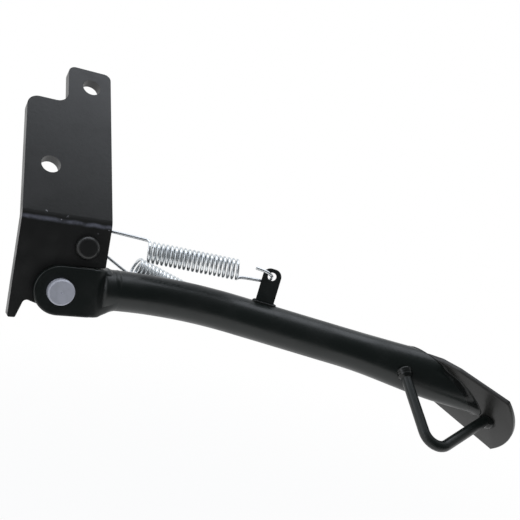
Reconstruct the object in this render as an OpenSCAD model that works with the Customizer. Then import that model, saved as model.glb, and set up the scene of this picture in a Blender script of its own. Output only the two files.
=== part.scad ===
// Scooter side stand, drawn retracted.  A folded bracket bolts to the frame,
// a clevis on a pivot pin carries the bent leg tube, and two extension springs
// pull the leg up.  Millimetres.  The origin is midway between the two mounting
// holes on the rear face of the bracket, X runs along the fold, Y is the pivot's
// axis pointing to the rear, and Z points up.

/* [Bracket] */
// Thickness of the bracket plate
plate_t = 6; // [5:0.5:8]
// Width of the bracket
plate_w = 43.5; // [42:0.5:48]
// Height of the mounting plate above the fold line
plate_h = 92.8; // [88:0.5:105]
// Height of the step at the left of the mounting plate
step_h = 68.5; // [62:0.5:74]
// Width of the tongue above the step
tongue_w = 23; // [21:0.5:26]
// Angle between the mounting plate and the flange plane
fold_angle = 32; // [20:1:45]
// Inside radius of the fold
fold_r = 3; // [2:0.5:5]
// Height of the fold line above the pivot
fold_z = 34.8; // [33:0.2:40]

/* [Mounting holes] */
// Diameter of the two bolt holes
hole_d = 9.5; // [8.5:0.1:11]
// Sideways distance between the holes
hole_dx = 20.4; // [16:0.2:22]
// Distance between the holes up the plate
hole_dz = 52.6; // [46:0.2:58]
// Height of the hole pattern's centre above the fold line
hole_mid = 55.6; // [52:0.2:58]

/* [Pivot] */
// Diameter of the pivot pin's shank
pin_d = 10; // [8:0.5:11]
// Diameter of the pin's visible head
pin_head_d = 12.8; // [12:0.1:16]
// How far the head stands off the clevis
pin_head_h = 4.2; // [3:0.1:6]
// Wall of the bush pressed into the flange
bush_wall = 1.5; // [1:0.1:2]
// Running clearance on the pin's radius
pin_clear = 0.05; // [0.02:0.01:0.08]
// Side play between the flange and each clevis cheek
side_play = 0.5; // [0.2:0.05:0.6]
// How far the leg swings from up to down
swing_angle = 108; // [95:1:112]

/* [Clevis] */
// Thickness of the folded clevis strap
clevis_t = 4; // [3.5:0.1:4.5]
// Width of the clevis strap
clevis_w = 24.5; // [23:0.5:26]
// Distance from the pivot to the back of the clevis
clevis_reach = 24; // [23:0.5:27]
// Gap left at each of the two stops
stop_gap = 0.3; // [0.2:0.05:0.5]

/* [Leg] */
// Outside diameter of the leg tube
tube_d = 21; // [19:0.5:22]
// Wall of the leg tube
tube_wall = 2; // [1.5:0.1:3]
// Height of the tube's axis above the pivot at the clevis
neck_z = 1.5; // [0:0.1:1.5]
// Centre-line radius of the leg's bend
bend_r = 128; // [110:1:150]
// Angle of the leg's bend
bend_angle = 30.5; // [20:0.5:40]
// Roll of the bend plane about the leg
bend_roll = 12.8; // [8:0.2:18]
// Length of the straight tube from the bend to the foot's centre
shin_len = 115.5; // [110:0.5:125]

/* [Foot] */
// Thickness of the foot plate
foot_t = 3; // [2.5:0.1:4]
// Width of the foot plate
foot_w = 41; // [40:0.5:44]
// Reach of the foot plate past the tube's axis
foot_toe = 48; // [46:0.5:52]
// Reach of the foot plate on the heel side
foot_heel = 22; // [20:0.5:26]
// Angle between the foot plate and the tube
foot_angle = 28.5; // [27:0.5:34]
// Roll of the foot plate about the tube
foot_roll = 37; // [34:0.5:40]

/* [Tang] */
// Diameter of the bent foot rod
rod_d = 5.5; // [5:0.1:6]
// Inside radius of the rod's bend
rod_bend_r = 5; // [4:0.5:7]
// Distance along the shin where the rod starts
rod_start = 94.6; // [90:0.2:98]
// Distance along the shin of the rod's corner
rod_corner_x = 111.8; // [106:0.2:116]
// How far the rod's corner stands out from the tube's axis
rod_out = 49.7; // [44:0.1:54]
// Distance along the foot plate where the rod ends
rod_foot = 33.4; // [30:0.2:36]

/* [Springs] */
// Diameter of the spring wire
wire_d = 1.6; // [1.2:0.1:1.8]
// Outside diameter of the coils
coil_d = 11; // [9:0.1:12]
// Number of turns in each coil
coil_turns = 20.5; // [16.5:1:24.5]
// Length of each coil
coil_len = 48; // [44:0.5:52]
// Diameter of the spring post's shank
post_d = 7; // [6:0.1:8]
// Diameter of the spring post's head
post_head_d = 12; // [10:0.1:14]
// Sideways distance from the pivot to the post
post_x = 10.9; // [9:0.1:13]
// Height of the post above the pivot
post_z = 22; // [21:0.1:24]
// Distance from the flange to the upper spring's groove
groove_gap = 7; // [6:0.5:9]
// Distance between the two grooves of the post
groove_pitch = 7; // [6:0.5:9]
// Thickness of the spring tabs
tab_t = 2.5; // [2:0.1:3]
// Width of the spring tabs
tab_w = 10; // [9:0.5:12]
// Diameter of the hole in each tab
tab_hole_d = 4.6; // [4.4:0.1:4.8]
// Height of the upper tab's hole above the tube's axis
upper_hole_h = 25.5; // [24:0.1:27]
// Height of the lower tab's hole above the tube's axis
lower_hole_h = 31; // [30.5:0.1:33]
// Distance of the upper tab along the shin
upper_tab_x = 13.6; // [11:0.2:20]
// Distance of the lower tab along the shin
lower_tab_x = 3.6; // [3:0.2:6]

/* [Hidden] */
$fn = 64;

// Flange and pivot
mid_y = plate_t / 2;
fold_out_r = fold_r + plate_t;
bend_z = fold_z - fold_out_r * tan(fold_angle / 2);
plate_left = -plate_w / 2;
hole_x = 1;
cheek_in = mid_y + side_play;
cheek_out = cheek_in + clevis_t;
clevis_h = clevis_w / 2;
web_x = clevis_reach - cheek_out;
bush_r = pin_d / 2 + pin_clear + bush_wall;
boss_r = clevis_h - 0.25;
tail_in = boss_r - 1.7;
tail_out = web_x + 3.7;
clip_t = 1;
pin_washer_t = 1;
seat = 0.02;

// Leg
tube_r = tube_d / 2;
bore_r = tube_r - tube_wall;
tube_start = clevis_reach - 3;
neck_len = 2.2;
weld_r = 2;
foot_bead = 1.8;
shin_end = shin_len + tube_r / tan(foot_angle) + 30;

// Springs
wire_r = wire_d / 2;
coil_r = coil_d / 2 - wire_r;
groove_r = post_d / 2 - 0.5;
hook_r = groove_r + wire_r + 0.05;
upper_y = plate_t + groove_gap;
lower_y = upper_y + groove_pitch;
coil_start = 34;
rise = 3;
tab_top = 4.2;
upper_tab_roll = -12;
lower_tab_roll = -117;

// 2D outline with rounded corners: each point is [x, y, radius]
function unit(v) = v / norm(v);
function corner(p, q, r, n) =
    let (a = unit([p.x - q.x, p.y - q.y]), b = unit([r.x - q.x, r.y - q.y]),
         half = acos(a * b) / 2, d = q[2] / tan(half),
         c = [q.x, q.y] + unit(a + b) * q[2] / sin(half),
         s = [q.x, q.y] + a * d - c, e = [q.x, q.y] + b * d - c,
         turn = sign(s.x * e.y - s.y * e.x) * (180 - 2 * half), t0 = atan2(s.y, s.x))
    q[2] == 0 ? [[q.x, q.y]]
              : [for (i = [0:n]) c + q[2] * [cos(t0 + turn * i / n), sin(t0 + turn * i / n)]];
function rounded(pts, n = 8) = let (k = len(pts))
    [for (i = [0:k - 1]) each corner(pts[(i + k - 1) % k], pts[i], pts[(i + 1) % k], n)];

// Rotation of the XZ plane that swings the leg down by a degrees
function swing(a, x, z) = [x * cos(a) + z * sin(a), -x * sin(a) + z * cos(a)];

// A sheet in the XZ plane between y = 0 and y = t
module sheet_xz(t) { translate([0, t, 0]) rotate([90, 0, 0]) linear_extrude(t) children(); }

// Moves the pivot frame to the centre of the hole pattern on the rear face
module to_mount() {
    up = hole_mid - fold_out_r * tan(fold_angle / 2);
    translate([-hole_x, -(fold_out_r - fold_r * cos(fold_angle) + up * sin(fold_angle)),
               -(bend_z + fold_r * sin(fold_angle) + up * cos(fold_angle))]) children();
}

// The plane of the mounting plate, its front face at y = 0 and the fold at z = 0
module on_plate() {
    translate([0, fold_out_r, bend_z]) rotate([-fold_angle, 0, 0])
        translate([0, -fold_out_r, -fold_out_r * tan(fold_angle / 2)]) children();
}

// The straight shin: X runs down the leg from the end of the bend
module on_shin(x = 0, roll = 0) {
    translate([clevis_reach, mid_y, neck_z]) rotate([bend_roll, 0, 0])
        translate([neck_len, -bend_r, 0]) rotate([0, 0, -bend_angle])
            translate([x, bend_r, 0]) rotate([roll, 0, 0]) children();
}

// The foot plate: X runs to the toe, Y is the side that meets the ground
module on_foot() { on_shin(shin_len, foot_roll) rotate([0, 0, -foot_angle]) children(); }

// Points in the pivot frame, for the springs' ends
function roll_x(a, p) = [p.x, p.y * cos(a) - p.z * sin(a), p.y * sin(a) + p.z * cos(a)];
function turn_z(a, p) = [p.x * cos(a) - p.y * sin(a), p.x * sin(a) + p.y * cos(a), p.z];
function shin_point(p) = [clevis_reach, mid_y, neck_z]
    + roll_x(bend_roll, [neck_len, -bend_r, 0] + turn_z(-bend_angle, p + [0, bend_r, 0]));
function shin_dir(p) = roll_x(bend_roll, turn_z(-bend_angle, p));
function tab_dir(roll) = shin_dir(roll_x(roll, [0, 0, 1]));
function tab_hole(x, roll, h) = shin_point([x, 0, 0] + roll_x(roll, [0, 0, h]));

module plate_outline() {
    tongue_x = plate_w / 2 - tongue_w;
    polygon(rounded([[plate_left, 0, 0], [plate_w / 2, 0, 0],
        [plate_w / 2, plate_h, 3.5], [tongue_x, plate_h, 4],
        [tongue_x, step_h, 6], [plate_left, step_h, 6]]));
}

module flange_outline() {
    foot = -(clevis_h + stop_gap);
    tail = swing(swing_angle, tail_out, foot);
    root = swing(swing_angle, tail_in, foot);
    polygon(rounded([[plate_left, bend_z, 0], [plate_left, tail.y, 1],
        [tail.x, tail.y, 0.8], [root.x, root.y, 2], [-boss_r * 0.5, -boss_r * 0.75, 0],
        [boss_r * 0.7, 0, 0], [boss_r * 0.75, clevis_h + stop_gap, 0],
        [plate_w / 2, clevis_h + stop_gap, 1], [plate_w / 2, bend_z, 0]]));
    circle(boss_r);
}

module mounting_bracket() {
    color([0.2, 0.2, 0.21]) difference() {
        union() {
            sheet_xz(plate_t) flange_outline();
            translate([plate_w / 2, fold_out_r, bend_z]) rotate([0, -90, 0])
                rotate([0, 0, -90]) rotate_extrude(angle = fold_angle)
                    translate([fold_r, 0]) square([plate_t, plate_w]);
            on_plate() sheet_xz(plate_t) intersection() {
                plate_outline();
                translate([plate_left, fold_out_r * tan(fold_angle / 2)])
                    square([plate_w, plate_h]);
            }
        }
        rotate([90, 0, 0]) cylinder(h = 3 * plate_t, r = bush_r + seat, center = true);
        translate([post_x, 0, post_z]) rotate([90, 0, 0])
            cylinder(h = 3 * plate_t, d = post_d + 2 * seat, center = true);
        on_plate() for (s = [-1, 1])
            translate([hole_x + s * hole_dx / 2, plate_t / 2, hole_mid + s * hole_dz / 2])
                rotate([90, 0, 0]) cylinder(h = 3 * plate_t, d = hole_d, center = true);
    }
}

// A plain ring on the pivot axis, from y to y + t
module pivot_ring(y, t, r_in, r_out) {
    translate([0, y + t, 0]) rotate([90, 0, 0]) linear_extrude(t)
        difference() { circle(r_out); circle(r_in); }
}

module pivot_bush() {
    color([0.72, 0.6, 0.35]) pivot_ring(0, plate_t, pin_d / 2 + pin_clear, bush_r);
}

// Turned pin: bevelled head with a centre mark, shank, and a groove for the circlip
module pivot_pin() {
    head_y = mid_y - cheek_out;
    groove_y = mid_y + cheek_out + pin_washer_t + 0.1;
    color([0.66, 0.67, 0.7]) rotate([90, 0, 0]) rotate_extrude() polygon([
        [0, -head_y + pin_head_h - 0.5], [0.6, -head_y + pin_head_h],
        [pin_head_d / 2 - 0.7, -head_y + pin_head_h],
        [pin_head_d / 2, -head_y + pin_head_h - 0.7], [pin_head_d / 2, -head_y + seat],
        [pin_d / 2, -head_y + seat], [pin_d / 2, -groove_y],
        [pin_d / 2 - 0.8, -groove_y], [pin_d / 2 - 0.8, -groove_y - clip_t - 0.1],
        [pin_d / 2, -groove_y - clip_t - 0.1], [pin_d / 2, -groove_y - clip_t - 0.8],
        [pin_d / 2 - 0.5, -groove_y - clip_t - 1.3], [0, -groove_y - clip_t - 1.3]]);
}

module pin_washer() {
    color([0.7, 0.7, 0.72])
        pivot_ring(mid_y + cheek_out + seat, pin_washer_t, pin_d / 2 + pin_clear, pin_d / 2 + 4);
}

// Open retaining ring in the pin's groove
module pin_circlip() {
    y = mid_y + cheek_out + pin_washer_t + 0.15;
    color([0.35, 0.35, 0.37]) difference() {
        pivot_ring(y, clip_t, pin_d / 2 - 0.8 + seat, pin_d / 2 + 2);
        translate([-pin_d * 0.28, y - 1, -pin_d]) cube([pin_d * 0.56, clip_t + 2, pin_d]);
    }
}

// Outside of the folded strap seen along Z, and its inside
module strap_outline(half) {
    translate([-clevis_w, mid_y - half]) square([clevis_w + web_x, 2 * half]);
    translate([web_x, mid_y]) circle(half);
}

module clevis() {
    color([0.13, 0.13, 0.14]) difference() {
        intersection() {
            translate([0, 0, -clevis_h]) linear_extrude(clevis_w) difference() {
                strap_outline(cheek_out);
                strap_outline(cheek_in);
            }
            translate([0, -plate_t, 0]) sheet_xz(3 * plate_t) {
                circle(clevis_h);
                polygon(rounded([[0, -clevis_h, 0], [clevis_reach, -clevis_h, 4],
                    [clevis_reach, clevis_h, 1.5], [0, clevis_h, 0]]));
            }
        }
        rotate([90, 0, 0]) cylinder(h = 6 * plate_t, r = pin_d / 2 + seat, center = true);
    }
}

// A cross-section of the tube
module tube_ring() { difference() { circle(tube_r); circle(bore_r); } }

// Sweeps a section along the bend, run on a little into the clevis
module bend_sweep() {
    run_in = (clevis_reach + neck_len - tube_start) / bend_r * 180 / PI;
    translate([clevis_reach, mid_y, neck_z]) rotate([bend_roll, 0, 0])
        translate([neck_len, -bend_r, 0]) rotate([0, 0, 90 - bend_angle])
            rotate_extrude(angle = bend_angle + run_in, $fn = 128)
                translate([bend_r, 0]) children();
}

module leg_bend() {
    difference() {
        bend_sweep() tube_ring();
        translate([web_x, mid_y, -clevis_w]) cylinder(h = 2 * clevis_w, r = cheek_out);
    }
}

// The straight shin, cut off at an angle by the foot plate
module leg_shin() {
    difference() {
        on_shin() rotate([0, 90, 0]) linear_extrude(shin_end) tube_ring();
        past_foot();
    }
}

// Everything past a plane parallel to the foot plate, on the ground's side
module past_foot(gap = 0) {
    on_foot() translate([-120, -gap, -100]) cube([240, 90, 200]);
}

module leg_tube() {
    color([0.09, 0.1, 0.1]) union() {
        leg_bend();
        leg_shin();
    }
}

// Bead round the neck, filling the space between the tube's end and the clevis
module neck_weld() {
    color([0.12, 0.12, 0.13]) difference() {
        union() {
            translate([tube_start + 1.2, mid_y, neck_z]) rotate([0, 90, 0])
                rotate_extrude() translate([tube_r - 0.4, 0]) circle(weld_r, $fn = 24);
            translate([tube_start - 0.8, mid_y, neck_z]) rotate([0, 90, 0])
                cylinder(h = 2, r = tube_r - 0.4);
        }
        translate([0, 0, -clevis_w]) linear_extrude(2 * clevis_w) strap_outline(cheek_out);
        bend_sweep() circle(tube_r + seat);
    }
}

// Rounded tab standing on the tube, with a hole for a spring's hook
module spring_tab(x, roll, h) {
    on_shin(x, roll) difference() {
        translate([0, -tab_t / 2, 0]) sheet_xz(tab_t) difference() {
            polygon(rounded([[-tab_w / 2, 0, 0], [tab_w / 2, 0, 0],
                [tab_w / 2, h + tab_top, 4], [-tab_w / 2, h + tab_top, 4]]));
            translate([0, h]) circle(d = tab_hole_d);
        }
        translate([-tab_w, 0, 0]) rotate([0, 90, 0]) cylinder(h = 2 * tab_w, r = tube_r);
    }
}

// A bead on each side of a tab's root
module tab_weld(x, roll) {
    on_shin(x, roll) difference() {
        for (s = [-1, 1]) translate([-tab_w / 2, s * (tab_t / 2 + 0.4), tube_r - 0.2])
            rotate([0, 90, 0]) cylinder(h = tab_w, r = weld_r - 0.3, $fn = 24);
        translate([-tab_w, 0, 0]) rotate([0, 90, 0]) cylinder(h = 2 * tab_w, r = tube_r);
        translate([-tab_w, -tab_t / 2, 0]) cube([2 * tab_w, tab_t, 2 * tube_r]);
    }
}

module upper_spring_tab() {
    color([0.13, 0.14, 0.14]) spring_tab(upper_tab_x, upper_tab_roll, upper_hole_h);
}

module upper_tab_weld() { color([0.15, 0.15, 0.16]) tab_weld(upper_tab_x, upper_tab_roll); }

module lower_spring_tab() {
    color([0.13, 0.14, 0.14]) spring_tab(lower_tab_x, lower_tab_roll, lower_hole_h);
}

module lower_tab_weld() {
    color([0.15, 0.15, 0.16]) tab_weld(lower_tab_x, lower_tab_roll);
}

// The foot plate: a tapered heel behind the tube and a wide toe cut to an arc
module foot_plate() {
    toe_side = foot_w * 0.55;
    far_side = foot_w * 0.45;
    toe_r = foot_w * 0.88;
    color([0.14, 0.14, 0.14]) on_foot() sheet_xz(foot_t) intersection() {
        polygon(rounded([[-foot_heel, -foot_w * 0.15, 4], [0, -toe_side, foot_w * 0.3],
            [foot_toe + 9, -toe_side, 0], [foot_toe + 9, far_side, 0],
            [foot_toe - 14, far_side, 0], [6, far_side * 0.78, 0],
            [-foot_heel, foot_w * 0.12, 4]]));
        translate([foot_toe - toe_r, -foot_w / 4]) circle(toe_r, $fn = 128);
        polygon(rounded([[-foot_heel * 2, -foot_w, 0], [foot_toe + 9, -foot_w, 0],
            [foot_toe + 9, far_side * 0.4, 4], [foot_toe * 0.74, far_side, 4],
            [-foot_heel * 2, far_side, 0]]));
    }
}

// Bead around the tube's oblique end
module foot_weld() {
    color([0.12, 0.12, 0.13]) difference() {
        intersection() {
            on_shin() rotate([0, 90, 0]) cylinder(h = shin_end, r = tube_r + foot_bead);
            on_foot() translate([-60, -foot_bead, -30]) cube([120, foot_bead, 60]);
        }
        on_shin() rotate([0, 90, 0]) cylinder(h = shin_end + 1, r = tube_r);
    }
}

// Round bar from p to q
module bar(p, q, d, d_end = 0) {
    v = q - p;
    translate(p) rotate([0, acos(v.z / norm(v)), atan2(v.y, v.x)])
        cylinder(h = norm(v), d1 = d, d2 = d_end > 0 ? d_end : d);
}

// Centre line from p to t, rounded with radius r at its corner q
function bent_line(p, q, t, r) =
    let (a = unit(p - q), b = unit(t - q), half = acos(a * b) / 2,
         ctr = q + unit(a + b) * r / sin(half), x = unit(q + a * r / tan(half) - ctr),
         y = unit(-a))
    concat([p], [for (i = [0:12]) let (f = (180 - 2 * half) * i / 12)
                     ctr + r * (x * cos(f) + y * sin(f))], [t]);

// The rod's three points in the shin's frame
rod_a = [rod_start, -bore_r, 0];
rod_q = [rod_corner_x, -rod_out * cos(28), -rod_out * sin(28)];
rod_b = [shin_len, 0, 0] + roll_x(foot_roll, turn_z(-foot_angle, [rod_foot, foot_t, -3.5]));

module tang_rod() {
    color([0.11, 0.11, 0.12]) difference() {
        on_shin() wire(bent_line(rod_a, rod_q, rod_b + 2 * (rod_b - rod_q) / rod_out,
                                 rod_bend_r + rod_d / 2), rod_d, 24);
        on_shin() translate([rod_start - 20, 0, 0]) rotate([0, 90, 0])
            cylinder(h = 40, r = tube_r);
        past_foot();
    }
}

// A tapered bead round the rod, from p on the rod towards q
module rod_weld(p, q) {
    difference() {
        on_shin() bar(p, p + unit(q - p) * rod_d * 1.1, rod_d + 3.6, rod_d + 0.8);
        on_shin() bar(p - unit(q - p), q, rod_d);
        on_shin() translate([rod_start - 20, 0, 0]) rotate([0, 90, 0])
            cylinder(h = 40, r = tube_r);
        past_foot();
    }
}

module rod_tube_weld() { color([0.1, 0.1, 0.1]) rod_weld(rod_a, rod_q); }

module rod_foot_weld() { color([0.1, 0.1, 0.1]) rod_weld(rod_b, rod_q); }

// Turned post riveted through the flange: domed head in front, two hook grooves behind
module spring_post() {
    head = post_head_d / 2;
    g = groove_r;
    r = post_d / 2;
    y1 = -upper_y;
    y2 = -lower_y;
    color([0.12, 0.12, 0.12]) translate([post_x, 0, post_z]) rotate([90, 0, 0])
        rotate_extrude() polygon(concat(
            [[0, 3.4]], [for (a = [90:-15:0]) [head - 2.4 + 2.4 * cos(a), 1 + 2.4 * sin(a)]],
            [[head, seat], [r, seat], [r, -plate_t - seat], [r + 2, -plate_t - seat],
             [r + 2, -plate_t - 1.5], [r, -plate_t - 3], [r, y1 + wire_d], [g, y1 + wire_r],
             [g, y1 - wire_r], [r, y1 - wire_d], [r, y2 + wire_d], [g, y2 + wire_r],
             [g, y2 - wire_r], [r + 1, y2 - wire_d], [r + 1, y2 - wire_d - 1.5],
             [r, y2 - wire_d - 2.2], [0, y2 - wire_d - 2.2]]));
}

// Sweep of a round wire along a list of points, with sides facets around
function bisect(a, b) = unit(unit(a) + unit(b));
function frame_side(t, up) = unit(cross(t, up));
module wire(path, d, sides) {
    n = len(path);
    tan_at = [for (i = [0:n - 1]) i == 0 ? unit(path[1] - path[0])
        : i == n - 1 ? unit(path[n - 1] - path[n - 2])
        : bisect(path[i] - path[i - 1], path[i + 1] - path[i])];
    // the section's first axis is carried along the path without twisting
    side_at = [for (i = 0, s = frame_side(tan_at[0], [0.31, 0.17, 0.93]); i < n;
        i = i + 1, s = i < n ? unit(s - tan_at[i] * (s * tan_at[i])) : s) s];
    ring = [for (i = [0:n - 1]) for (k = [0:sides - 1])
        let (u = side_at[i], v = cross(tan_at[i], u))
        path[i] + d / 2 * (u * cos(360 * k / sides) + v * sin(360 * k / sides))];
    skin = [for (i = [0:n - 2]) for (k = [0:sides - 1])
        let (a = i * sides + k, b = i * sides + (k + 1) % sides)
        each [[a, b + sides, b], [a, a + sides, b + sides]]];
    caps = concat([[for (k = [0:sides - 1]) k]],
                  [[for (k = [sides - 1:-1:0]) (n - 1) * sides + k]]);
    polyhedron(ring, concat(skin, caps), convexity = 6);
}

// Centre line of a spring: hook round the post, straight leg, coil, straight leg,
// and a hook that passes through the tab's hole and turns back beside the tab
function spring_path(y, hole, tab_up, tab_along, sense, per_turn) =
    let (post = [post_x, y, post_z],
         start = post + [0, 0, rise],
         axis = unit(hole - start),
         side = unit(cross(axis, [0, 1, 0])),
         up = (side.z > 0 ? side : -side) * sense,
         w = cross(axis, up),
         c0 = start + axis * coil_start,
         face = unit(cross(tab_along, tab_up)),
         turn_r = tab_t / 2 + wire_r + 1.3,
         n = coil_turns * per_turn,
         leg = c0 + up * coil_r - axis * 3 - post,
         leave = atan2(leg.z, leg.x) + acos(hook_r / norm([leg.x, leg.z])),
         rear = [for (i = [0:14]) let (a = 330 + (leave - 330) * i / 14)
             post + hook_r * [cos(a), 0, sin(a)]],
         coil = [for (i = [0:n]) let (a = 360 * i / per_turn)
             c0 + axis * (coil_len * i / n) + coil_r * (up * cos(a) + w * sin(a))],
         hook = [for (i = [0:10]) let (a = 18 * i)
             hole + turn_r * (tab_along * (sin(a) - 1) - face * cos(a))])
    concat(rear, [post + leg], coil,
           [c0 + axis * (coil_len + 3) - up * coil_r], hook,
           [hook[10] - tab_along * 4, hook[10] - tab_along * 8]);

module upper_spring() {
    color([0.75, 0.77, 0.78])
        wire(spring_path(upper_y, tab_hole(upper_tab_x, upper_tab_roll, upper_hole_h),
                         tab_dir(upper_tab_roll), shin_dir([1, 0, 0]), 1, 12), wire_d, 6);
}

module lower_spring() {
    color([0.72, 0.75, 0.74])
        wire(spring_path(lower_y, tab_hole(lower_tab_x, lower_tab_roll, lower_hole_h),
                         tab_dir(lower_tab_roll), shin_dir([1, 0, 0]), -1, 12), wire_d, 6);
}

to_mount() {
    mounting_bracket();
    pivot_bush();
    spring_post();
    clevis();
    pivot_pin();
    pin_washer();
    pin_circlip();
    leg_tube();
    neck_weld();
    upper_spring_tab();
    upper_tab_weld();
    lower_spring_tab();
    lower_tab_weld();
    foot_plate();
    foot_weld();
    tang_rod();
    rod_tube_weld();
    rod_foot_weld();
    upper_spring();
    lower_spring();
}
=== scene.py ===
import math
import random

import bmesh
import bpy
from mathutils import Matrix, Vector


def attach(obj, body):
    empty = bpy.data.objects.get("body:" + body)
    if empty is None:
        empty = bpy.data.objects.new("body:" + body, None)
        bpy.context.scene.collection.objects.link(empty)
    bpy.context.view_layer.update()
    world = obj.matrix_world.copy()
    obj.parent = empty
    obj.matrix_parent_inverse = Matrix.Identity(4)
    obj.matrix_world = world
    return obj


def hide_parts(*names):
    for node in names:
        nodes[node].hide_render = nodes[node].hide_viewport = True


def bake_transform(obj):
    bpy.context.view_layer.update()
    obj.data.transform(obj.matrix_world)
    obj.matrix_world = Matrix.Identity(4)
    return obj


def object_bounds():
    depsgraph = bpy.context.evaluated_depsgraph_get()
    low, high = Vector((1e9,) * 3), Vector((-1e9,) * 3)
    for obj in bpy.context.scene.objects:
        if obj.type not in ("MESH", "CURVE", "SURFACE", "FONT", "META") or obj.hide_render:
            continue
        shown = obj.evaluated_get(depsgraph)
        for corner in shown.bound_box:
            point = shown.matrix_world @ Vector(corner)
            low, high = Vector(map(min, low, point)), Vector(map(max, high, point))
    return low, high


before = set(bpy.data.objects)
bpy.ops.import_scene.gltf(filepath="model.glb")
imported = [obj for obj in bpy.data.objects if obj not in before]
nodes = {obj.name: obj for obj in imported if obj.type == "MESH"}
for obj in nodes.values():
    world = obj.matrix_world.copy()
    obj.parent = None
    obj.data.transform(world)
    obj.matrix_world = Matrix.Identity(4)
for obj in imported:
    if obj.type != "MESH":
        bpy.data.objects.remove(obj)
cad_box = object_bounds()
scene = bpy.context.scene
MM = 0.001

# Sizes from the part's source, in millimetres
PIVOT = Vector((-1.0, -34.552, -78.772))    # the pivot in the part's frame
CLEVIS_REACH = 24.0
CLEVIS_CENTRE_Y = 3.0
NECK_Z = 1.5
NECK_LENGTH = 2.2
BEND_RADIUS = 128.0
BEND_ANGLE = 30.5
BEND_ROLL = 12.8
SHIN_LENGTH = 115.5
TUBE_RADIUS = 10.5
FOOT_ANGLE = 28.5
FOOT_ROLL = 37.0
POST = (10.9, 22.0)
WIRE_RADIUS = 0.85
COIL_RADIUS = 5.0
COIL_TURNS = 20.5
COIL_START = 34.0
COIL_LENGTH = 48.0
HOOK_RADIUS = 3.85
TAB_THICKNESS = 2.5
UPPER_TAB = (13.6, -12.0, 25.5)             # along the shin, roll, height of the hole
LOWER_TAB = (3.6, -117.0, 31.0)
UPPER_GROOVE_Y = 13.0
LOWER_GROOVE_Y = 20.0
FOOT_WIDTH = 41.0
FOOT_TOE = 48.0
FOOT_TOE_RADIUS = 36.08
FOOT_THICKNESS = 3.0
ROD_RADIUS = 2.75
ROD_START = 94.6
ROD_CORNER_X = 111.8
ROD_OUT = 49.7
ROD_FOOT = 33.4
ROD_ROLL = 28.0
FOLD_Z = 34.8                               # over the pivot


# Places on the part

def turned(axis, degrees):
    return Matrix.Rotation(math.radians(degrees), 4, axis)


def bend_place(angle):
    """The tube's frame at an angle along the bend, with X down the leg."""
    return (Matrix.Translation(PIVOT + Vector((CLEVIS_REACH, CLEVIS_CENTRE_Y, NECK_Z)))
            @ turned("X", BEND_ROLL) @ Matrix.Translation((NECK_LENGTH, -BEND_RADIUS, 0))
            @ turned("Z", -angle) @ Matrix.Translation((0, BEND_RADIUS, 0)))


def shin_place(along=0.0, roll=0.0):
    return bend_place(BEND_ANGLE) @ Matrix.Translation((along, 0, 0)) @ turned("X", roll)


def foot_place():
    return shin_place(SHIN_LENGTH, FOOT_ROLL) @ turned("Z", -FOOT_ANGLE)


# Mesh building

def piece(name, points, faces, finish, body=None, smooth=True):
    """A mesh from points in millimetres, finished and riding on a body."""
    mesh = bpy.data.meshes.new(name)
    mesh.from_pydata([tuple(Vector(p) * MM) for p in points], [], faces)
    mesh.update()
    if smooth:
        mesh.shade_smooth()
    mesh.materials.append(finish)
    obj = bpy.data.objects.new(name, mesh)
    scene.collection.objects.link(obj)
    if body:
        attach(obj, body)
    return obj


def swept_wire(path, radius_at, sides, closed=False):
    """Points and faces of a round bar along a path, with a radius for each point."""
    count = len(path)
    tangents = []
    for i in range(count):
        before = path[(i - 1) % count] if closed or i > 0 else path[i]
        after = path[(i + 1) % count] if closed or i < count - 1 else path[i]
        tangents.append((after - before).normalized())
    side = tangents[0].cross(Vector((0.31, 0.17, 0.93))).normalized()
    points, faces = [], []
    for i in range(count):
        side = (side - tangents[i] * side.dot(tangents[i])).normalized()
        other = tangents[i].cross(side)
        for k in range(sides):
            turn = 2 * math.pi * k / sides
            points.append(path[i] + radius_at(i) * (side * math.cos(turn)
                                                    + other * math.sin(turn)))
    for i in range(count if closed else count - 1):
        for k in range(sides):
            a = i * sides + k
            b = i * sides + (k + 1) % sides
            c = (i + 1) % count * sides + (k + 1) % sides
            d = (i + 1) % count * sides + k
            faces.append((a, b, c, d))
    if not closed:
        faces.append(tuple(range(sides))[::-1])
        faces.append(tuple(range((count - 1) * sides, count * sides)))
    return points, faces


def eased(path, rounds=3):
    """A path with its corners cut, ends kept."""
    for _ in range(rounds):
        cut = [path[0]]
        for a, b in zip(path, path[1:]):
            cut += [a.lerp(b, 0.25), a.lerp(b, 0.75)]
        path = cut + [path[-1]]
    return path


# Finishes

def shader_group(name, inputs, outputs):
    """An empty node group: (tree, input node, output node)."""
    tree = bpy.data.node_groups.new(name, "ShaderNodeTree")
    for title, kind, default in inputs:
        socket = tree.interface.new_socket(title, in_out="INPUT", socket_type=kind)
        socket.default_value = default
    for title, kind in outputs:
        tree.interface.new_socket(title, in_out="OUTPUT", socket_type=kind)
    return tree, tree.nodes.new("NodeGroupInput"), tree.nodes.new("NodeGroupOutput")


def noise(tree, vector, scale, detail=3.0, rough=0.5):
    node = tree.nodes.new("ShaderNodeTexNoise")
    node.inputs["Detail"].default_value = detail
    node.inputs["Roughness"].default_value = rough
    if isinstance(scale, (int, float)):
        node.inputs["Scale"].default_value = scale
    else:
        tree.links.new(scale, node.inputs["Scale"])
    tree.links.new(vector, node.inputs["Vector"])
    return node.outputs["Fac"]


def ramp(tree, value, low, high):
    """The value stretched so that low gives 0 and high gives 1."""
    node = tree.nodes.new("ShaderNodeMapRange")
    node.interpolation_type = "SMOOTHSTEP"
    node.inputs["From Min"].default_value = low
    node.inputs["From Max"].default_value = high
    tree.links.new(value, node.inputs["Value"])
    return node.outputs["Result"]


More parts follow.
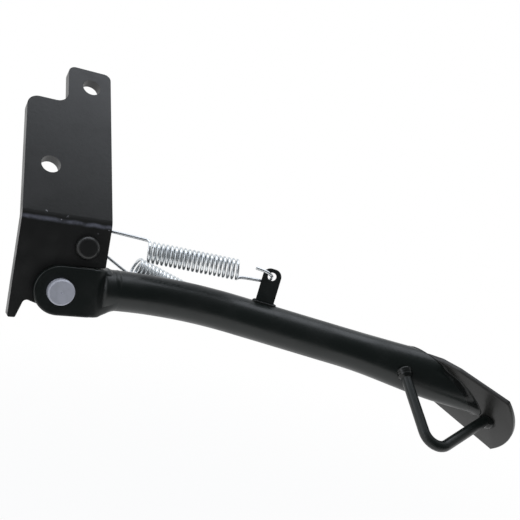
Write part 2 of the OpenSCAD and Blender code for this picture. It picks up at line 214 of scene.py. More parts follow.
def math_node(tree, kind, a, b):
    node = tree.nodes.new("ShaderNodeMath")
    node.operation = kind
    for socket, value in zip(node.inputs, (a, b)):
        if isinstance(value, (int, float)):
            socket.default_value = value
        else:
            tree.links.new(value, socket)
    return node.outputs["Value"]


def make_paint_skin():
    """Sprayed paint: orange peel, specks of grit, and patches that are duller."""
    tree, given, out = shader_group(
        "paint_skin",
        [("Peel Scale", "NodeSocketFloat", 700.0), ("Peel Depth", "NodeSocketFloat", 0.2)],
        [("Normal", "NodeSocketVector"), ("Dull", "NodeSocketFloat"),
         ("Speck", "NodeSocketFloat")])
    place = tree.nodes.new("ShaderNodeTexCoord").outputs["Object"]
    peel = noise(tree, place, given.outputs["Peel Scale"], 2.0)
    grit = ramp(tree, noise(tree, place, 2600.0, 1.0), 0.68, 0.78)
    height = math_node(tree, "ADD", peel, math_node(tree, "MULTIPLY", grit, 0.6))
    relief = tree.nodes.new("ShaderNodeBump")
    relief.inputs["Distance"].default_value = 0.00012
    tree.links.new(given.outputs["Peel Depth"], relief.inputs["Strength"])
    tree.links.new(height, relief.inputs["Height"])
    tree.links.new(relief.outputs["Normal"], out.inputs["Normal"])
    tree.links.new(ramp(tree, noise(tree, place, 60.0, 4.0, 0.6), 0.42, 0.68),
                   out.inputs["Dull"])
    dust = math_node(tree, "MULTIPLY", ramp(tree, noise(tree, place, 1500.0, 2.0), 0.7, 0.8),
                     ramp(tree, noise(tree, place, 45.0, 2.0), 0.55, 0.7))
    tree.links.new(dust, out.inputs["Speck"])
    return tree


def make_edge_wear():
    """Where the surface turns sharply, paint is thin and catches the light."""
    tree, given, out = shader_group(
        "edge_wear",
        [("Width", "NodeSocketFloat", 0.0006), ("Amount", "NodeSocketFloat", 0.5)],
        [("Edge", "NodeSocketFloat")])
    shape = tree.nodes.new("ShaderNodeNewGeometry")
    rounded = tree.nodes.new("ShaderNodeBevel")
    rounded.samples = 4
    tree.links.new(given.outputs["Width"], rounded.inputs["Radius"])
    agree = tree.nodes.new("ShaderNodeVectorMath")
    agree.operation = "DOT_PRODUCT"
    tree.links.new(rounded.outputs["Normal"], agree.inputs[0])
    tree.links.new(shape.outputs["Normal"], agree.inputs[1])
    turned_away = ramp(tree, math_node(tree, "SUBTRACT", 1.0, agree.outputs["Value"]),
                       0.03, 0.25)
    place = tree.nodes.new("ShaderNodeTexCoord").outputs["Object"]
    broken = ramp(tree, noise(tree, place, 350.0, 4.0, 0.7), 0.4, 0.6)
    worn = math_node(tree, "MULTIPLY", turned_away, broken)
    tree.links.new(math_node(tree, "MULTIPLY", worn, given.outputs["Amount"]),
                   out.inputs["Edge"])
    return tree


def make_plating():
    """Zinc plating: cloudy brightness and fine drawing lines."""
    tree, given, out = shader_group(
        "plating",
        [("Cloud Scale", "NodeSocketFloat", 200.0), ("Depth", "NodeSocketFloat", 0.2)],
        [("Cloud", "NodeSocketFloat"), ("Normal", "NodeSocketVector")])
    place = tree.nodes.new("ShaderNodeTexCoord").outputs["Object"]
    cloud = noise(tree, place, given.outputs["Cloud Scale"], 4.0, 0.6)
    relief = tree.nodes.new("ShaderNodeBump")
    relief.inputs["Distance"].default_value = 0.00008
    tree.links.new(given.outputs["Depth"], relief.inputs["Strength"])
    tree.links.new(noise(tree, place, 3000.0, 2.0), relief.inputs["Height"])
    tree.links.new(ramp(tree, cloud, 0.35, 0.65), out.inputs["Cloud"])
    tree.links.new(relief.outputs["Normal"], out.inputs["Normal"])
    return tree


PAINT_SKIN = make_paint_skin()
EDGE_WEAR = make_edge_wear()
PLATING = make_plating()


def place_group(tree, group, **values):
    node = tree.nodes.new("ShaderNodeGroup")
    node.node_tree = group
    for title, value in values.items():
        node.inputs[title.replace("_", " ")].default_value = value
    return node


def blend_colors(tree, factor, first, second):
    node = tree.nodes.new("ShaderNodeMix")
    node.data_type = "RGBA"
    tree.links.new(factor, node.inputs["Factor"])
    for socket, value in ((node.inputs[6], first), (node.inputs[7], second)):
        if isinstance(value, tuple):
            socket.default_value = (*value, 1)
        else:
            tree.links.new(value, socket)
    return node.outputs[2]


def new_material(name, metallic=0.0):
    mat = bpy.data.materials.new(name)
    mat.use_nodes = True
    shader = mat.node_tree.nodes["Principled BSDF"]
    shader.inputs["Metallic"].default_value = metallic
    return mat, mat.node_tree, shader


def mapped(tree, value, low, high):
    """The value, from 0 to 1, turned into one from low to high."""
    node = tree.nodes.new("ShaderNodeMapRange")
    node.inputs["To Min"].default_value = low
    node.inputs["To Max"].default_value = high
    tree.links.new(value, node.inputs["Value"])
    return node.outputs["Result"]


def black_paint(name, color, worn_color, gloss, dull, shine, peel=0.25):
    """Paint whose roughness wanders from gloss to dull, thin at its edges, with some dust."""
    mat, tree, shader = new_material(name)
    shader.inputs["Specular IOR Level"].default_value = shine
    skin = place_group(tree, PAINT_SKIN, Peel_Scale=500.0, Peel_Depth=peel)
    edge = place_group(tree, EDGE_WEAR, Width=0.0005, Amount=0.3)
    base = blend_colors(tree, edge.outputs["Edge"], color, worn_color)
    dusty = blend_colors(tree, math_node(tree, "MULTIPLY", skin.outputs["Speck"], 0.35),
                         base, (0.1, 0.1, 0.1))
    tree.links.new(dusty, shader.inputs["Base Color"])
    tree.links.new(mapped(tree, skin.outputs["Dull"], gloss, dull),
                   shader.inputs["Roughness"])
    tree.links.new(skin.outputs["Normal"], shader.inputs["Normal"])
    return mat


def add_fold_highlight_and_nicks(mat):
    """The fold's ridge, with a painted blue-grey highlight band that is patchy along its length,
    and nicks in the paint beside it.
    """
    tree = mat.node_tree
    shader = tree.nodes["Principled BSDF"]
    place = tree.nodes.new("ShaderNodeTexCoord").outputs["Object"]
    apart = tree.nodes.new("ShaderNodeSeparateXYZ")
    tree.links.new(place, apart.inputs["Vector"])
    sway = 3.0 * MM
    waver = math_node(tree, "MULTIPLY", noise(tree, place, 110.0, 4.0), sway)
    ridge_z = (PIVOT.z + FOLD_Z - 1.1) * MM
    height = math_node(tree, "ADD", math_node(tree, "SUBTRACT", apart.outputs["Z"], ridge_z),
                       math_node(tree, "SUBTRACT", waver, sway / 2))
    off_ridge = math_node(tree, "ABSOLUTE", height, 0)
    # the band along the ridge that carries the painted highlight
    band = math_node(tree, "SUBTRACT", 1.0, ramp(tree, off_ridge, 0.1 * MM, 1.5 * MM))
    front = math_node(tree, "SUBTRACT", 1.0,
                      ramp(tree, apart.outputs["Y"], (PIVOT.y + 1.6) * MM, (PIVOT.y + 3.5) * MM))
    patchy = mapped(tree, ramp(tree, noise(tree, place, 90.0, 5.0, 0.7), 0.35, 0.6),
                              0.25, 1.0)
    # painted highlight: the band on the front face, broken into patches
    fold_highlight = math_node(tree, "MULTIPLY", math_node(tree, "MULTIPLY", band, front), patchy)
    nicks = math_node(tree, "MULTIPLY", ramp(tree, noise(tree, place, 420.0, 2.0), 0.69, 0.74),
                      math_node(tree, "MULTIPLY", front, math_node(
                          tree, "SUBTRACT", 1.0, ramp(tree, off_ridge, 2.0 * MM, 5.5 * MM))))
    before = shader.inputs["Base Color"].links[0].from_socket
    # painted highlight: blue-grey colour standing in for the light that the bend's ridge catches
    highlighted = blend_colors(tree, fold_highlight, before, (0.1, 0.105, 0.135))
    tree.links.new(blend_colors(tree, nicks, highlighted, (0.34, 0.34, 0.37)),
                   shader.inputs["Base Color"])


def zinc_plate(name, dark, bright, low, high, cloud_scale=200.0, metallic=1.0):
    """Cloudy metal: where it is brighter it is smoother, down to a roughness of low."""
    mat, tree, shader = new_material(name, metallic=metallic)
    plating = place_group(tree, PLATING, Cloud_Scale=cloud_scale, Depth=0.2)
    tree.links.new(blend_colors(tree, plating.outputs["Cloud"], dark, bright),
                   shader.inputs["Base Color"])
    tree.links.new(mapped(tree, plating.outputs["Cloud"], high, low),
                   shader.inputs["Roughness"])
    tree.links.new(plating.outputs["Normal"], shader.inputs["Normal"])
    return mat


bracket_paint = black_paint("bracket_paint", (0.0085, 0.009, 0.0085), (0.06, 0.06, 0.062),
                            0.34, 0.46, 0.65)
# paints a highlight band along the fold, with nicks in the paint beside it
add_fold_highlight_and_nicks(bracket_paint)
leg_paint = black_paint("leg_paint", (0.0055, 0.0085, 0.0075), (0.05, 0.052, 0.052),
                        0.3, 0.42, 0.5)
foot_paint = black_paint("foot_paint", (0.019, 0.0185, 0.017), (0.06, 0.06, 0.058),
                         0.28, 0.4, 0.4)
weld_paint = black_paint("weld_paint", (0.0055, 0.0065, 0.006), (0.05, 0.052, 0.052),
                         0.18, 0.28, 0.4, peel=0.4)
pin_zinc = zinc_plate("pin_zinc", (0.37, 0.38, 0.43), (0.44, 0.45, 0.51), 0.42, 0.55,
                      metallic=0.3)
spring_zinc = zinc_plate("spring_zinc", (0.7, 0.73, 0.75), (0.9, 0.93, 0.94), 0.2, 0.34,
                         120.0, metallic=0.9)
bush_bronze = zinc_plate("bush_bronze", (0.38, 0.24, 0.09), (0.48, 0.32, 0.13), 0.3, 0.45)
circlip_steel = zinc_plate("circlip_steel", (0.05, 0.05, 0.055), (0.09, 0.09, 0.1), 0.3, 0.4)

FINISH = {
    "mounting_bracket": bracket_paint, "spring_post": bracket_paint,
    "pivot_bush": bush_bronze, "pivot_pin": pin_zinc, "pin_washer": pin_zinc,
    "pin_circlip": circlip_steel,
}                                           # the rest has the leg's paint
SOFT_EDGE = {"mounting_bracket": 0.5, "upper_spring_tab": 0.3, "lower_spring_tab": 0.3}
for node_name, obj in nodes.items():
    obj.data.materials.clear()
    obj.data.materials.append(FINISH.get(node_name, leg_paint))
    if node_name in SOFT_EDGE:
        edge = obj.modifiers.new("soft_edge", "BEVEL")
        edge.width = SOFT_EDGE[node_name] * MM
        edge.segments = 3
        edge.limit_method = "ANGLE"
        edge.angle_limit = math.radians(35)
        edge.harden_normals = True


# Springs

COIL_STEPS = 24          # points in each turn
HOOK_STEPS = 16
HOOK_TIP = 330           # where the hook's tip lies round the post, in degrees
WIRE_SIDES = 12


def coil_points(start, axis, up):
    """The coil's centre line, from the side that up names."""
    across = axis.cross(up)
    count = int(COIL_TURNS * COIL_STEPS)
    coil = []
    for i in range(count + 1):
        turn = 2 * math.pi * i / COIL_STEPS
        coil.append(start + axis * (COIL_LENGTH * i / count)
                    + COIL_RADIUS * (up * math.cos(turn) + across * math.sin(turn)))
    return coil


def post_hook(post, leave):
    """The hook round the post's groove, up to the angle where the leg leaves it."""
    angles = [math.radians(HOOK_TIP + (leave - HOOK_TIP) * i / HOOK_STEPS)
              for i in range(HOOK_STEPS + 1)]
    return [post + HOOK_RADIUS * Vector((math.cos(t), 0, math.sin(t))) for t in angles]


def spring_path(groove_y, tab, sense):
    """Hook round the post, leg, coil, leg, and a hook through the tab's hole.

    The sense is 1 for the spring whose wire comes off the coil's top, else -1.
    """
    along, roll, height = tab
    hole = shin_place(along, roll) @ Vector((0, 0, height))
    tab_up = (shin_place(along, roll).to_3x3() @ Vector((0, 0, 1))).normalized()
    tab_along = (shin_place().to_3x3() @ Vector((1, 0, 0))).normalized()
    face = tab_along.cross(tab_up).normalized()
    post = PIVOT + Vector((POST[0], groove_y, POST[1]))
    start = post + Vector((0, 0, 3))
    axis = (hole - start).normalized()
    side = axis.cross(Vector((0, 1, 0))).normalized()
    up = side * (1 if side.z > 0 else -1) * sense
    coil = coil_points(start + axis * COIL_START, axis, up)
    # the leg runs on along the coil's top and drops to the post behind the flange
    if sense > 0:
        rise = start + axis * 11 + up * (COIL_RADIUS + 1.6)
        leg = [rise, rise + axis * 2]
        leave = 62
    else:
        lead = start + axis * COIL_START + up * COIL_RADIUS - axis * 3 - post
        flat = Vector((lead.x, lead.z))
        leave = math.degrees(math.atan2(flat.y, flat.x) + math.acos(HOOK_RADIUS / flat.length))
        leg = []
    proud = up * (0.9 if sense > 0 else 0.0)
    first = (post_hook(post, leave) + leg
             + [coil[0] - axis * 3.2 + proud, coil[0] - axis * 1.0 + proud * 0.8] + coil[1:4])
    # the leg passes behind the tab and comes back to the front through the hole
    behind = TAB_THICKNESS / 2 + WIRE_RADIUS + 0.3
    rear = face if face.y > 0 else -face
    low = coil[-1] + axis * 2.2 + up * 1.5
    inlet = hole + rear * behind - tab_up * 3.5 * sense - tab_along * 1.0
    last = coil[-4:-1] + [
        low, low.lerp(inlet, 0.6), inlet,
        hole + rear * (behind + 0.5) + tab_along * 0.3 - tab_up * 0.6,
        hole, hole - rear * (behind + 0.3) - tab_along * 0.8 + tab_up * 0.9,
        hole - rear * (behind + 0.6) - tab_along * 3.5 + tab_up * 2.0,
        hole - rear * (behind + 0.6) - tab_along * 9.6 + tab_up * 2.3]
    return eased(first, 2) + coil[4:-4] + eased(last, 3), hole, start


for name, groove_y, tab, sense in (("upper_spring", UPPER_GROOVE_Y, UPPER_TAB, 1),
                                   ("lower_spring", LOWER_GROOVE_Y, LOWER_TAB, -1)):
    path, hole, start = spring_path(groove_y, tab, sense)
    spring = piece(name + "_wire", *swept_wire(path, lambda i: WIRE_RADIUS, WIRE_SIDES),
                   spring_zinc)
    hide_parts(name)
    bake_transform(spring)


# The tube, pressed to an oval towards the foot plate

SIDES = 96
BEND_STEPS = 40
BEFORE_BEND = 3          # steps of the bend that reach into the neck
SHIN_STEPS = 130
PAST_SHIN = 24.0         # the tube is drawn on this far, then cut at the foot plate
TUBE_GAP = 0.05         # gap left between the tube's cut end and the plate
PRESS_START = 60.0       # along the shin
PRESS_END = 118.0
WIDER, THINNER, LOWER = 2.1, 1.2, 1.4
ACROSS = Vector((0, 0.36, 0.933))        # the oval's long way, in the shin's frame
THROUGH = Vector((0, 0.933, -0.36))


def turns(sides):
    return [2 * math.pi * k / sides for k in range(sides)]


def smooth_share(value, low, high):
    share = max(0.0, min(1.0, (value - low) / (high - low)))
    return share * share * (3 - 2 * share)


# the press leaves a three-cornered dent on the front: (along, turn) of its corners
DENT = ((107.0, 170.0), (115.0, 140.0), (127.5, 184.0))
DENT_DEPTH = 1.5
DENT_WALLS = (4.0, 1.7, 2.9)


def dent_depth(along, turn):
    """How far the front of the tube is pressed in, with a soft wall along each side."""
    arc = math.radians(TUBE_RADIUS)
    here = Vector((along, math.degrees(turn) * arc))
    corners = [Vector((a, t * arc)) for a, t in DENT]
    depth = DENT_DEPTH
    for i, wall in enumerate(DENT_WALLS):
        start, end = corners[i], corners[(i + 1) % 3]
        side = (end - start).normalized()
        inside = Vector((-side.y, side.x))
        if inside.dot(corners[(i + 2) % 3] - start) < 0:
            inside = -inside
        depth *= smooth_share(inside.dot(here - start), 0.0, wall)
    return depth


def tube_section(along, turn, proud=0.0):
    """A point of the tube's skin in the shin's cross-section."""
    press = smooth_share(along, PRESS_START, PRESS_END)
    wide = TUBE_RADIUS + WIDER * press + proud
    thin = TUBE_RADIUS - THINNER * press + proud - dent_depth(along, turn)
    return (ACROSS * (wide * math.sin(turn) - LOWER * press)
            + THROUGH * (thin * math.cos(turn)))


def onto_foot(point, depth):
    """The point slid along the shin to a depth over the foot plate, if it is past it."""
    local = foot_place().inverted() @ point
    down = foot_place().inverted().to_3x3() @ (shin_place().to_3x3() @ Vector((1, 0, 0)))
    return foot_place() @ (local - down * ((local.y + depth) / down.y)), local.y + depth > 0


def ring_faces(rings, sides):
    """Points and faces of a skin over closed rings, without the faces that have no height."""
    points = [p for ring in rings for p in ring]
    faces = []
    for i in range(len(rings) - 1):
        for k in range(sides):
            a, b = i * sides + k, i * sides + (k + 1) % sides
            if ((points[a] - points[a + sides]).length < 1e-4
                    and (points[b] - points[b + sides]).length < 1e-4):
                continue
            faces.append((a, b, b + sides, a + sides))
    return points, faces


def leg_tube_skin():
    """The tube's outside, from inside the neck to its cut end on the foot plate."""
    rings = []
    for i in range(-BEFORE_BEND, BEND_STEPS + 1):
        place = bend_place(BEND_ANGLE * i / BEND_STEPS)
        rings.append([place @ tube_section(0, t) for t in turns(SIDES)])
    for i in range(1, SHIN_STEPS + 1):
        along = (SHIN_LENGTH + PAST_SHIN) * i / SHIN_STEPS
        ring = []
        for t in turns(SIDES):
            point = shin_place(along) @ tube_section(along, t)
            on_plate, past = onto_foot(point, TUBE_GAP)
            ring.append(on_plate if past else point)
        rings.append(ring)
    points, faces = ring_faces(rings, SIDES)
    faces.append(tuple(range(SIDES))[::-1])
    faces.append(tuple(range(len(points) - SIDES, len(points))))
    return points, faces


tube = piece("leg_tube_skin", *leg_tube_skin(), leg_paint, "leg")
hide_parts("leg_tube")


# The foot plate, with its heel tucked behind the tube

ARC_STEPS = 8
EDGE_STEPS = 4
EDGE_ROUNDING = 0.7
OUTLINE_STEP = 0.8


def rounded_outline(corners):
    """Corner points (x, z, radius) as a closed outline with round corners."""
    outline = []
    count = len(corners)
    for i, (x, z, radius) in enumerate(corners):
        here = Vector((x, z))
        before = Vector(corners[i - 1][:2]) - here
        after = Vector(corners[(i + 1) % count][:2]) - here
        if radius == 0:
            outline.append(here)
            continue
        half = before.angle(after) / 2
        middle = here + (before.normalized() + after.normalized()).normalized() * (
            radius / math.sin(half))
        first = here + before.normalized() * radius / math.tan(half) - middle
        sweep = first.angle_signed(here + after.normalized() * radius / math.tan(half) - middle)
        for step in range(ARC_STEPS + 1):
            angle = -sweep * step / ARC_STEPS
            c, s = math.cos(angle), math.sin(angle)
            outline.append(middle + Vector((first.x * c - first.y * s,
                                            first.x * s + first.y * c)))
    return outline


def foot_plate_outline():
    """The plate's outline in its own plane, cut to the toe's arc."""
    toe_middle = Vector((FOOT_TOE - FOOT_TOE_RADIUS, -FOOT_WIDTH / 4))
    near, far = -FOOT_WIDTH * 0.55, FOOT_WIDTH * 0.45
    outline = rounded_outline([
        (-17, -9.5, 4), (0, near, 12.3), (FOOT_TOE + 9, near, 0), (FOOT_TOE + 9, 7.4, 4),
        (FOOT_TOE * 0.74, far, 4), (FOOT_TOE - 14, far, 0), (6, 14.39, 6), (-4, 11.2, 3),
        (-12, 6.0, 4), (-18, -2.5, 4)])
    fine = []
    for a, b in zip(outline, outline[1:] + outline[:1]):
        steps = max(1, int((b - a).length / OUTLINE_STEP))
        fine += [a.lerp(b, i / steps) for i in range(steps)]
    kept = []
    for point in fine:
        away = point - toe_middle
        if away.length > FOOT_TOE_RADIUS:
            point = toe_middle + away.normalized() * FOOT_TOE_RADIUS
        if not kept or (point - kept[-1]).length > 0.35:
            kept.append(point)
    return kept


def foot_plate_skin():
    """The plate as rings from its front face, round its edge, to its back face."""
    outline = foot_plate_outline()
    inward = []
    count = len(outline)
    for i, point in enumerate(outline):
        along = (outline[(i + 1) % count] - outline[i - 1]).normalized()
        inward.append(Vector((-along.y, along.x)))
    layers = []
    for face_y, way in ((0.0, 1), (FOOT_THICKNESS, -1)):
        steps = [math.radians(90 * k / EDGE_STEPS) for k in range(EDGE_STEPS + 1)]
        arcs = [(EDGE_ROUNDING * (1 - math.sin(t)),
                 face_y + way * EDGE_ROUNDING * (1 - math.cos(t))) for t in steps]
        layers += arcs if way > 0 else arcs[::-1]
    place = foot_place()
    rings = [[place @ Vector((p.x + n.x * inset, y, p.y + n.y * inset))
              for p, n in zip(outline, inward)] for inset, y in layers]
    points, faces = ring_faces(rings, count)
    faces.append(tuple(range(count))[::-1])
    last = (len(rings) - 1) * count
    faces.append(tuple(range(last, last + count)))
    return points, faces


plate = piece("foot_plate_skin", *foot_plate_skin(), foot_paint, "leg", smooth=False)
plate.data.shade_smooth()
plate.data.set_sharp_from_angle(angle=math.radians(40))
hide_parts("foot_plate")


# Weld beads

BEAD_RADIUS = 1.25
BEAD_RIPPLE = 0.2
BEAD_SPACING = 1.1       # from one ripple to the next
BEAD_SWELLS = 12


def tab_outline(tab):
    """A closed path round a tab's foot, just proud of its faces, on the tube's skin."""
    along, roll, _ = tab
    place = shin_place(along, roll)
    off = TAB_THICKNESS / 2 + 0.35
    ring = []
    for x, y in ((-5.2, -off), (5.2, -off), (5.6, 0), (5.2, off), (-5.2, off), (-5.6, 0)):
        ring.append(Vector((x, y, math.sqrt(TUBE_RADIUS ** 2 - y * y) - 0.1)))
    path = []
    for a, b in zip(ring, ring[1:] + ring[:1]):
        start, end = place @ a, place @ b
        path += [start.lerp(end, i / 15) for i in range(15)]
    return path


def tab_bead(name, tab, replaces, seed):
    """A rippled bead round a tab's foot, wavering a little in its thickness."""
    path = tab_outline(tab)
    draw = random.Random(seed)
    length = 0.0
    places = [0.0]
    for a, b in zip(path, path[1:]):
        length += (b - a).length
        places.append(length)
    phase = draw.random() * 6
    swell = [draw.uniform(0.9, 1.12) for _ in range(BEAD_SWELLS)]

    def radius_at(i):
        last = BEAD_SWELLS - 1
        at = places[i] / length * last
        low = int(at)
        steady = swell[low] + (swell[min(low + 1, last)] - swell[low]) * (at - low)
        wave = abs(math.sin(math.pi * places[i] / BEAD_SPACING + phase))
        return BEAD_RADIUS * steady * (1 - BEAD_RIPPLE + BEAD_RIPPLE * wave)
    bead = piece(name, *swept_wire(path, radius_at, 16, closed=True), weld_paint, "leg")
    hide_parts(replaces)


tab_bead("upper_tab_bead", UPPER_TAB, "upper_tab_weld", 3)
tab_bead("lower_tab_bead", LOWER_TAB, "lower_tab_weld", 5)


def foot_fillet():
    """Weld that flows from the tube's oval end onto the foot plate, fullest at the toe."""
    into_foot = foot_place().inverted()
    draw = random.Random(7)
    phase = draw.uniform(0, 6.28)
    contour = [onto_foot(shin_place(SHIN_LENGTH) @ tube_section(SHIN_LENGTH, t), 0.0)[0]
               for t in turns(SIDES)]
    heel = min((into_foot @ p).x for p in contour)
    middle = into_foot @ shin_place(SHIN_LENGTH).translation
    curve_steps = 6
    rings = [[] for _ in range(curve_steps + 2)]
    for t, corner in zip(turns(SIDES), contour):
        local = into_foot @ corner
        share = smooth_share(local.x - heel, 10, 34)
        height = 0.5 + 2.2 * share
        spread = (0.25 + 1.7 * share) * (1 + 0.08 * math.sin(17 * t + phase))
        up_tube = onto_foot(shin_place(SHIN_LENGTH) @ tube_section(SHIN_LENGTH, t, 0.02),
                            height)[0]
        outward = Vector((local.x - middle.x, 0, local.z - middle.z)).normalized()
        edge = foot_place() @ (local + outward * spread + Vector((0, 0.02, 0)))
        for k, ring in enumerate(rings[:-1]):
            u = k / curve_steps
            ring.append(up_tube * (1 - u) ** 2 + corner * 2 * u * (1 - u) + edge * u * u)
        rings[-1].append(foot_place() @ (local + Vector((0, 0.3, 0))))
    rings.append(rings[0])
    points, faces = ring_faces(rings, SIDES)
    fillet = piece("foot_fillet", points, faces, weld_paint, "leg")
    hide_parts("foot_weld")


foot_fillet()


LUMP_STEPS = 14
LUMP_STEP = 0.45
LUMP_SINK = 2.2          # the lump starts this far inside what carries the rod
BACK_SKIN = 0.6          # and stays this far under the foot plate's back


def rod_lump(name, root, other, size, replaces, seed):
    """A blob of weld round the rod's root, on the side of the rod's other end."""
    draw = random.Random(seed)
    way = (other - root).normalized()
    path = [shin_place() @ (root + way * (step * LUMP_STEP - LUMP_SINK))
            for step in range(LUMP_STEPS + 1)]
    wobble = [draw.uniform(0.93, 1.07) for _ in path]

    def radius_at(i):
        share = i / (len(path) - 1)
        dome = math.sqrt(max(0.0, 1 - (share * 1.02) ** 3.2))
        return max(ROD_RADIUS * 0.7, size * dome * wobble[i])
    points, faces = swept_wire(path, radius_at, 24)
    into_foot = foot_place().inverted()
    for i, point in enumerate(points):
        local = into_foot @ point
        local.y = min(local.y, FOOT_THICKNESS - BACK_SKIN)
        points[i] = foot_place() @ local
    lump = piece(name, points, faces, weld_paint, "leg")
    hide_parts(replaces)


rod_root = Vector((ROD_START, -TUBE_RADIUS + 2, 0))
rod_corner = Vector((ROD_CORNER_X, -ROD_OUT * math.cos(math.radians(ROD_ROLL)),
                     -ROD_OUT * math.sin(math.radians(ROD_ROLL))))
rod_end = (shin_place().inverted() @ foot_place()) @ Vector((ROD_FOOT, 0, -3.5))
rod_lump("rod_tube_lump", rod_root + (rod_corner - rod_root).normalized() * 1.2, rod_corner,
         4.3, "rod_tube_weld", 11)
rod_lump("rod_foot_lump", rod_end, rod_corner, 4.4, "rod_foot_weld", 13)


# The clevis, with the weld that joins it to the tube

SADDLE_STEPS = 30
SADDLE_START = 20.3      # in front of the pivot
SADDLE_LENGTH = 10.2
CLEVIS_BACK = (6.9, 11.9)        # half the width and height of the clevis's back
SECTION_TURN = 21.0      # the tube's section is drawn from this far round
VOXEL = 0.45
NECK_START = 15.5        # in front of the pivot; past it the skin is smoothed more
NECK_ROUNDS = 14
SKIN_ROUNDS = 2


def neck_saddle():
    """The weld that fills between the clevis's rounded back and the tube."""
    draw = random.Random(21)
    phases = [draw.uniform(0, 6.28) for _ in range(2)]
    rings = []
    for i in range(SADDLE_STEPS + 1):
        share = i / SADDLE_STEPS
        x = SADDLE_START + SADDLE_LENGTH * share
        flow = smooth_share(share, 0.0, 0.9)
        ring = []
        for t in turns(SIDES):
            c, s = math.cos(t), math.sin(t)
            oblong = Vector((CLEVIS_BACK[0] * math.copysign(abs(c) ** 0.4, c),
                             CLEVIS_BACK[1] * math.copysign(abs(s) ** 0.45, s)))
            place = bend_place(max(-4.0, math.degrees((x - CLEVIS_REACH - NECK_LENGTH)
                                                      / BEND_RADIUS)))
            turn = math.atan2(s, c) + math.radians(SECTION_TURN)
            skin = place @ tube_section(0, turn, 0.05) - PIVOT
            y = CLEVIS_CENTRE_Y + oblong.x + (skin.y - CLEVIS_CENTRE_Y - oblong.x) * flow
            z = oblong.y + (skin.z - oblong.y) * flow
            # laid in passes, roughest at the top
            rough = 0.05 + 0.5 * smooth_share(s, 0.2, 0.8)
            wave = (math.sin(11 * share + 2.1 * t + phases[0])
                    + 0.6 * math.sin(23 * share - 3.3 * t + phases[1]))
            swell = (0.2 + rough * wave) * math.sin(math.pi * share)
            away = Vector((0, y - CLEVIS_CENTRE_Y, z)).normalized()
            ring.append((PIVOT + Vector((x, y, z)) + away * swell) * MM)
        rings.append(ring)
    points, faces = ring_faces(rings, SIDES)
    faces.append(tuple(range(SIDES))[::-1])
    last = SADDLE_STEPS * SIDES
    faces.append(tuple(range(last, last + SIDES)))
    return points, faces


def smoothed(body, verts, rounds):
    for _ in range(rounds):
        bmesh.ops.smooth_vert(body, verts=verts, factor=0.5, use_axis_x=True,
                              use_axis_y=True, use_axis_z=True)


def clevis_skin():
    """The clevis and its neck weld under one skin, with the weld flowing in."""
    body = bmesh.new()
    body.from_mesh(nodes["clevis"].data)
    points, faces = neck_saddle()
    corners = [body.verts.new(p) for p in points]
    for face in faces:
        body.faces.new([corners[k] for k in face])
    mesh = bpy.data.meshes.new("clevis_soup")
    body.to_mesh(mesh)
    body.free()
    soup = bpy.data.objects.new("clevis_soup", mesh)
    scene.collection.objects.link(soup)
    remesh = soup.modifiers.new("one_skin", "REMESH")
    remesh.mode = "VOXEL"
    remesh.voxel_size = VOXEL * MM
    skin = bpy.data.meshes.new_from_object(
        soup.evaluated_get(bpy.context.evaluated_depsgraph_get()))
    bpy.data.objects.remove(soup)
    body = bmesh.new()
    body.from_mesh(skin)
    neck = [v for v in body.verts if v.co.x / MM > PIVOT.x + NECK_START]
    smoothed(body, neck, NECK_ROUNDS)
    smoothed(body, body.verts, SKIN_ROUNDS)
    body.to_mesh(skin)
    body.free()
    skin.shade_smooth()
    skin.materials.clear()
    skin.materials.append(leg_paint)
    obj = bpy.data.objects.new("clevis_skin", skin)
    scene.collection.objects.link(obj)
    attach(obj, "leg")
    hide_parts("clevis", "neck_weld")


clevis_skin()


# Camera

CAMERA_AT = Vector((-74.7, -355.05, -20.37))
CAMERA_RIGHT = Vector((0.862, -0.474, 0.178))
CAMERA_BACK = Vector((-0.493, -0.866, 0.084))
LENS = 45.07

camera = bpy.data.objects.new("camera", bpy.data.cameras.new("camera"))
scene.collection.objects.link(camera)
right = CAMERA_RIGHT.normalized()
back = (CAMERA_BACK - right * CAMERA_BACK.dot(right)).normalized()
up = back.cross(right)
rotation = Matrix((right, up, back)).transposed().to_4x4()
camera.matrix_world = Matrix.Translation(CAMERA_AT * MM) @ rotation
camera.data.sensor_width = 36
camera.data.lens = LENS
camera.data.clip_start = 0.01
scene.camera = camera
scene.view_settings.view_transform = "Standard"


# Studio: a white sweep under and behind the stand, dim in front of it

DIM = (0.055, 0.056, 0.058)
BRIGHT = (0.93, 0.96, 1.0)
EVEN = (0.62, 0.64, 0.66)        # the least that the room gives to matt surfaces
LAMP_COLOR = (0.88, 0.92, 1.0)
LAMPS_AIM = Vector((0.08, -0.06, -0.07))
FLOOR_SIZE = 4000
FLOOR_FRONT = -450
FLOOR_DROP = 3

world = bpy.data.worlds.new("studio")
scene.world = world
world.use_nodes = True
tree = world.node_tree
room = tree.nodes["Background"]
white = tree.nodes.new("ShaderNodeBackground")
white.inputs["Color"].default_value = (1, 1, 1, 1)
white.inputs["Strength"].default_value = 1.0
rays = tree.nodes.new("ShaderNodeLightPath")
split = tree.nodes.new("ShaderNodeSeparateXYZ")
tree.links.new(tree.nodes.new("ShaderNodeTexCoord").outputs["Generated"], split.inputs["Vector"])
behind = ramp(tree, split.outputs["Y"], -0.85, 0.35)
shade = math_node(tree, "SUBTRACT", 1.0, math_node(
    tree, "MULTIPLY", ramp(tree, split.outputs["Z"], 0.15, 0.6), 0.35))
glow = math_node(tree, "MULTIPLY", behind, shade)
mirrored = math_node(tree, "MULTIPLY", behind, math_node(
    tree, "MULTIPLY", math_node(tree, "MAXIMUM", rays.outputs["Is Glossy Ray"],
                                rays.outputs["Is Transmission Ray"]),
    math_node(tree, "SUBTRACT", 1.0, ramp(tree, split.outputs["Z"], 0.15, 0.6))))
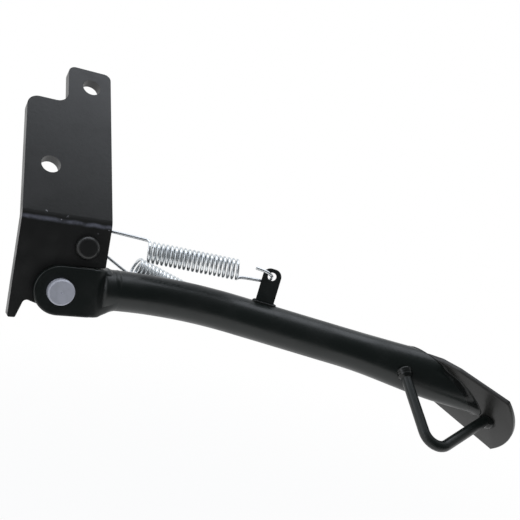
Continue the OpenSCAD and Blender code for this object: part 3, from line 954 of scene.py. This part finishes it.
even = blend_colors(tree, rays.outputs["Is Diffuse Ray"], (0.0, 0.0, 0.0), EVEN)
brighter = tree.nodes.new("ShaderNodeMix")
brighter.data_type = "RGBA"
brighter.blend_type = "LIGHTEN"
brighter.inputs["Factor"].default_value = 1.0
tree.links.new(blend_colors(tree, glow, DIM, BRIGHT), brighter.inputs[6])
tree.links.new(even, brighter.inputs[7])
tree.links.new(brighter.outputs[2], room.inputs["Color"])
seen = tree.nodes.new("ShaderNodeMixShader")
tree.links.new(math_node(tree, "MAXIMUM", rays.outputs["Is Camera Ray"], mirrored),
               seen.inputs["Fac"])
tree.links.new(room.outputs["Background"], seen.inputs[1])
tree.links.new(white.outputs["Background"], seen.inputs[2])
tree.links.new(seen.outputs["Shader"], tree.nodes["World Output"].inputs["Surface"])

paper, tree, shader = new_material("floor_paper")
shader.inputs["Base Color"].default_value = (0.88, 0.88, 0.88, 1)
shader.inputs["Roughness"].default_value = 0.9
lit = tree.nodes.new("ShaderNodeEmission")
lit.inputs["Strength"].default_value = 1.0
rays = tree.nodes.new("ShaderNodeLightPath")
shown = math_node(tree, "MAXIMUM", rays.outputs["Is Camera Ray"],
                  math_node(tree, "MAXIMUM", rays.outputs["Is Glossy Ray"],
                            rays.outputs["Is Transmission Ray"]))
mixed = tree.nodes.new("ShaderNodeMixShader")
distance = tree.nodes.new("ShaderNodeVectorMath")
distance.operation = "LENGTH"
tree.links.new(tree.nodes.new("ShaderNodeTexCoord").outputs["Object"], distance.inputs[0])
share_lit = math_node(tree, "ADD", math_node(tree, "MULTIPLY", ramp(
    tree, distance.outputs["Value"], 0.25, 0.9), 0.16), 0.84)
tree.links.new(math_node(tree, "MULTIPLY", shown, share_lit), mixed.inputs["Fac"])
tree.links.new(shader.outputs["BSDF"], mixed.inputs[1])
tree.links.new(lit.outputs["Emission"], mixed.inputs[2])
tree.links.new(mixed.outputs["Shader"], tree.nodes["Material Output"].inputs["Surface"])
# below the leg's swing, so that the lowered leg is seen too
reach = math.hypot(cad_box[1][0] / MM - PIVOT.x, cad_box[0][2] / MM - PIVOT.z)
floor_z = PIVOT.z - reach - FLOOR_DROP
floor = piece("floor", [(-FLOOR_SIZE, FLOOR_FRONT, floor_z), (FLOOR_SIZE, FLOOR_FRONT, floor_z),
                        (FLOOR_SIZE, FLOOR_SIZE, floor_z), (-FLOOR_SIZE, FLOOR_SIZE, floor_z)],
              [(0, 1, 2, 3)], paper, smooth=False)


def softbox(name, place, size, radiance):
    """A rectangular lamp that shines as brightly as radiance says, whatever its size."""
    lamp = bpy.data.lights.new(name, "AREA")
    lamp.shape = "RECTANGLE"
    lamp.size, lamp.size_y = size
    lamp.energy = radiance * size[0] * size[1] * math.pi
    lamp.color = LAMP_COLOR
    obj = bpy.data.objects.new(name, lamp)
    scene.collection.objects.link(obj)
    obj.location = place
    aim = LAMPS_AIM - Vector(place)
    obj.rotation_euler = aim.to_track_quat("-Z", "Y").to_euler()


softbox("top_softbox", (0.1, 0.0, 0.8), (1.2, 0.55), 1.7)
softbox("left_softbox", (-0.9, -0.1, 0.35), (0.5, 0.7), 1.2)
